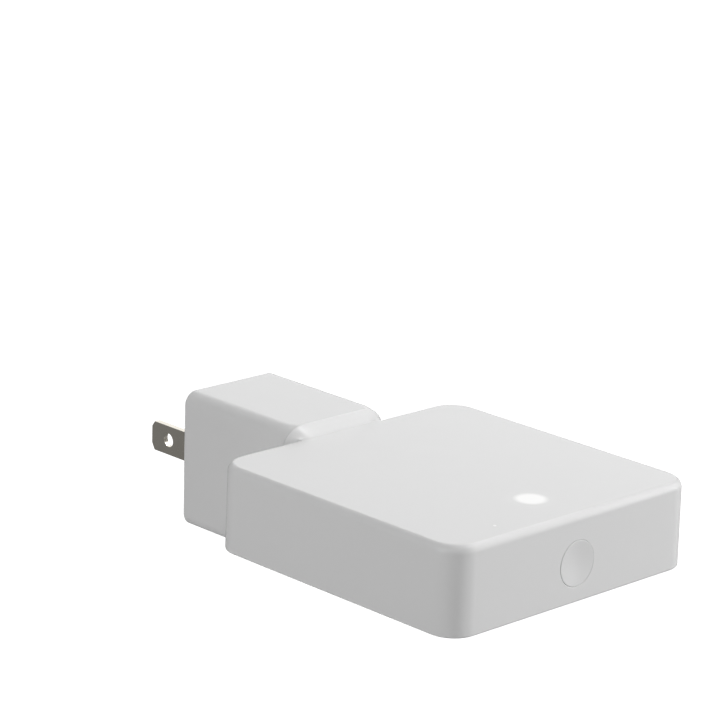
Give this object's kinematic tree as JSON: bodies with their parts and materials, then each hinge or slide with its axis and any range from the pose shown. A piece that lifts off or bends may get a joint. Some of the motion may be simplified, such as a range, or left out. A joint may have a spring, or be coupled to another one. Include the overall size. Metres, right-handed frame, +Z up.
{
  "type": "wifi range extender",
  "caption": "White plug-in wifi range extender: flat box on a rectangular mains neck, with a dished round button in front and a lamp glowing through the top.",
  "frame": {"origin": "middle of the face that meets the wall, at the neck's end, midway between the two plug blades", "axes": "+Z up; +Y into the wall, along the blades; the box stands off the wall along -Y, with its button face to -Y; +X to the right for someone who faces the wall"},
  "size_m": [0.066, 0.1158, 0.0292],
  "materials": {
    "white_shell": "satin gloss, fine moulded grain",
    "white_cover": "fine matte grain",
    "white_button": "satin gloss",
    "plug_base_plastic": "fine matte grain",
    "nickel_blade": "nickel plated, brushed along the blade",
    "screw_steel": "zinc plated",
    "label": "blank silver-grey film",
    "white_wire": "wire insulation",
    "black_wire": "wire insulation",
    "red_wire": "wire insulation",
    "black_plastic": "moulded",
    "chip_epoxy": "moulded epoxy",
    "white_plastic_part": "natural nylon",
    "light_guide_clear": "clear moulded light pipe",
    "led_package": "white package with phosphor",
    "green_board": "green solder mask",
    "brown_board": "bare phenolic laminate",
    "tin_shield": "tinned sheet",
    "heatsink_aluminium": "milled",
    "thermal_pad": "soft silicone",
    "ceramic_tan": "fired",
    "ferrite": "sintered",
    "yellow_tape": "taped coil",
    "gold_contact": "gold plated",
    "can_sleeve": "shrink sleeve",
    "resistor_coat": "cement coat",
    "blue_epoxy": "dipped epoxy",
    "clear_film": "insulating film"
  },
  "bodies": {
    "case": {"main_shell": "white_shell", "bottom_cover": "white_cover", "plug_base": "plug_base_plastic", "plug_blade_left": "nickel_blade", "plug_blade_right": "nickel_blade", "blade_leads": "white_wire", "case_screws": "screw_steel", "rating_label": "label", "wps_switch_body": "black_plastic", "reset_switch_body": "tin_shield", "light_guide": "light_guide_clear", "status_led": "led_package", "main_pcb": "green_board", "shield_frame": "tin_shield", "shield_lid": "tin_shield", "wifi_processor": "chip_epoxy", "memory_chip": "chip_epoxy", "flash_chip": "chip_epoxy", "clock_crystal": "tin_shield", "power_inductor": "ferrite", "tank_capacitor": "can_sleeve", "ceramic_capacitors": "ceramic_tan", "processor_thermal_pad": "thermal_pad", "heatsink_thermal_pad": "thermal_pad", "heatsink": "heatsink_aluminium", "antenna_left": "green_board", "antenna_right": "green_board", "antenna_leads": "black_wire", "antenna_connectors": "gold_contact", "power_pcb": "brown_board", "fusible_resistor": "resistor_coat", "varistor": "blue_epoxy", "input_choke": "ferrite", "bridge_rectifier": "chip_epoxy", "input_capacitors": "can_sleeve", "transformer_bobbin": "black_plastic", "transformer_winding": "yellow_tape", "transformer_core": "ferrite", "controller_chip": "chip_epoxy", "y_capacitor": "blue_epoxy", "output_diode": "chip_epoxy", "output_capacitor": "can_sleeve", "dc_lead_red": "red_wire", "dc_lead_black": "black_wire", "dc_connector": "white_plastic_part", "insulation_sheet": "clear_film"},
    "wps_button": {"wps_button": "white_button"},
    "wps_switch_plunger": {"wps_switch_plunger": "black_plastic"},
    "reset_switch_plunger": {"reset_switch_plunger": "black_plastic"}
  },
  "joints": [
    {"name": "wps_button_press", "type": "slide", "parent": "case", "child": "wps_button", "axis": [0, 1, 0], "range_m": [0, 0.0005], "stiffness_N_per_m": 3000},
    {"name": "wps_plunger_press", "type": "slide", "parent": "case", "child": "wps_switch_plunger", "axis": [0, 1, 0], "range_m": [0, 0.0005]},
    {"name": "reset_plunger_press", "type": "slide", "parent": "case", "child": "reset_switch_plunger", "axis": [0, 0, 1], "range_m": [0, 0.0002], "stiffness_N_per_m": 6000}
  ],
  "couplings": [
    {"joint": "wps_plunger_press", "follows": "wps_button_press", "ratio": 1}
  ]
}
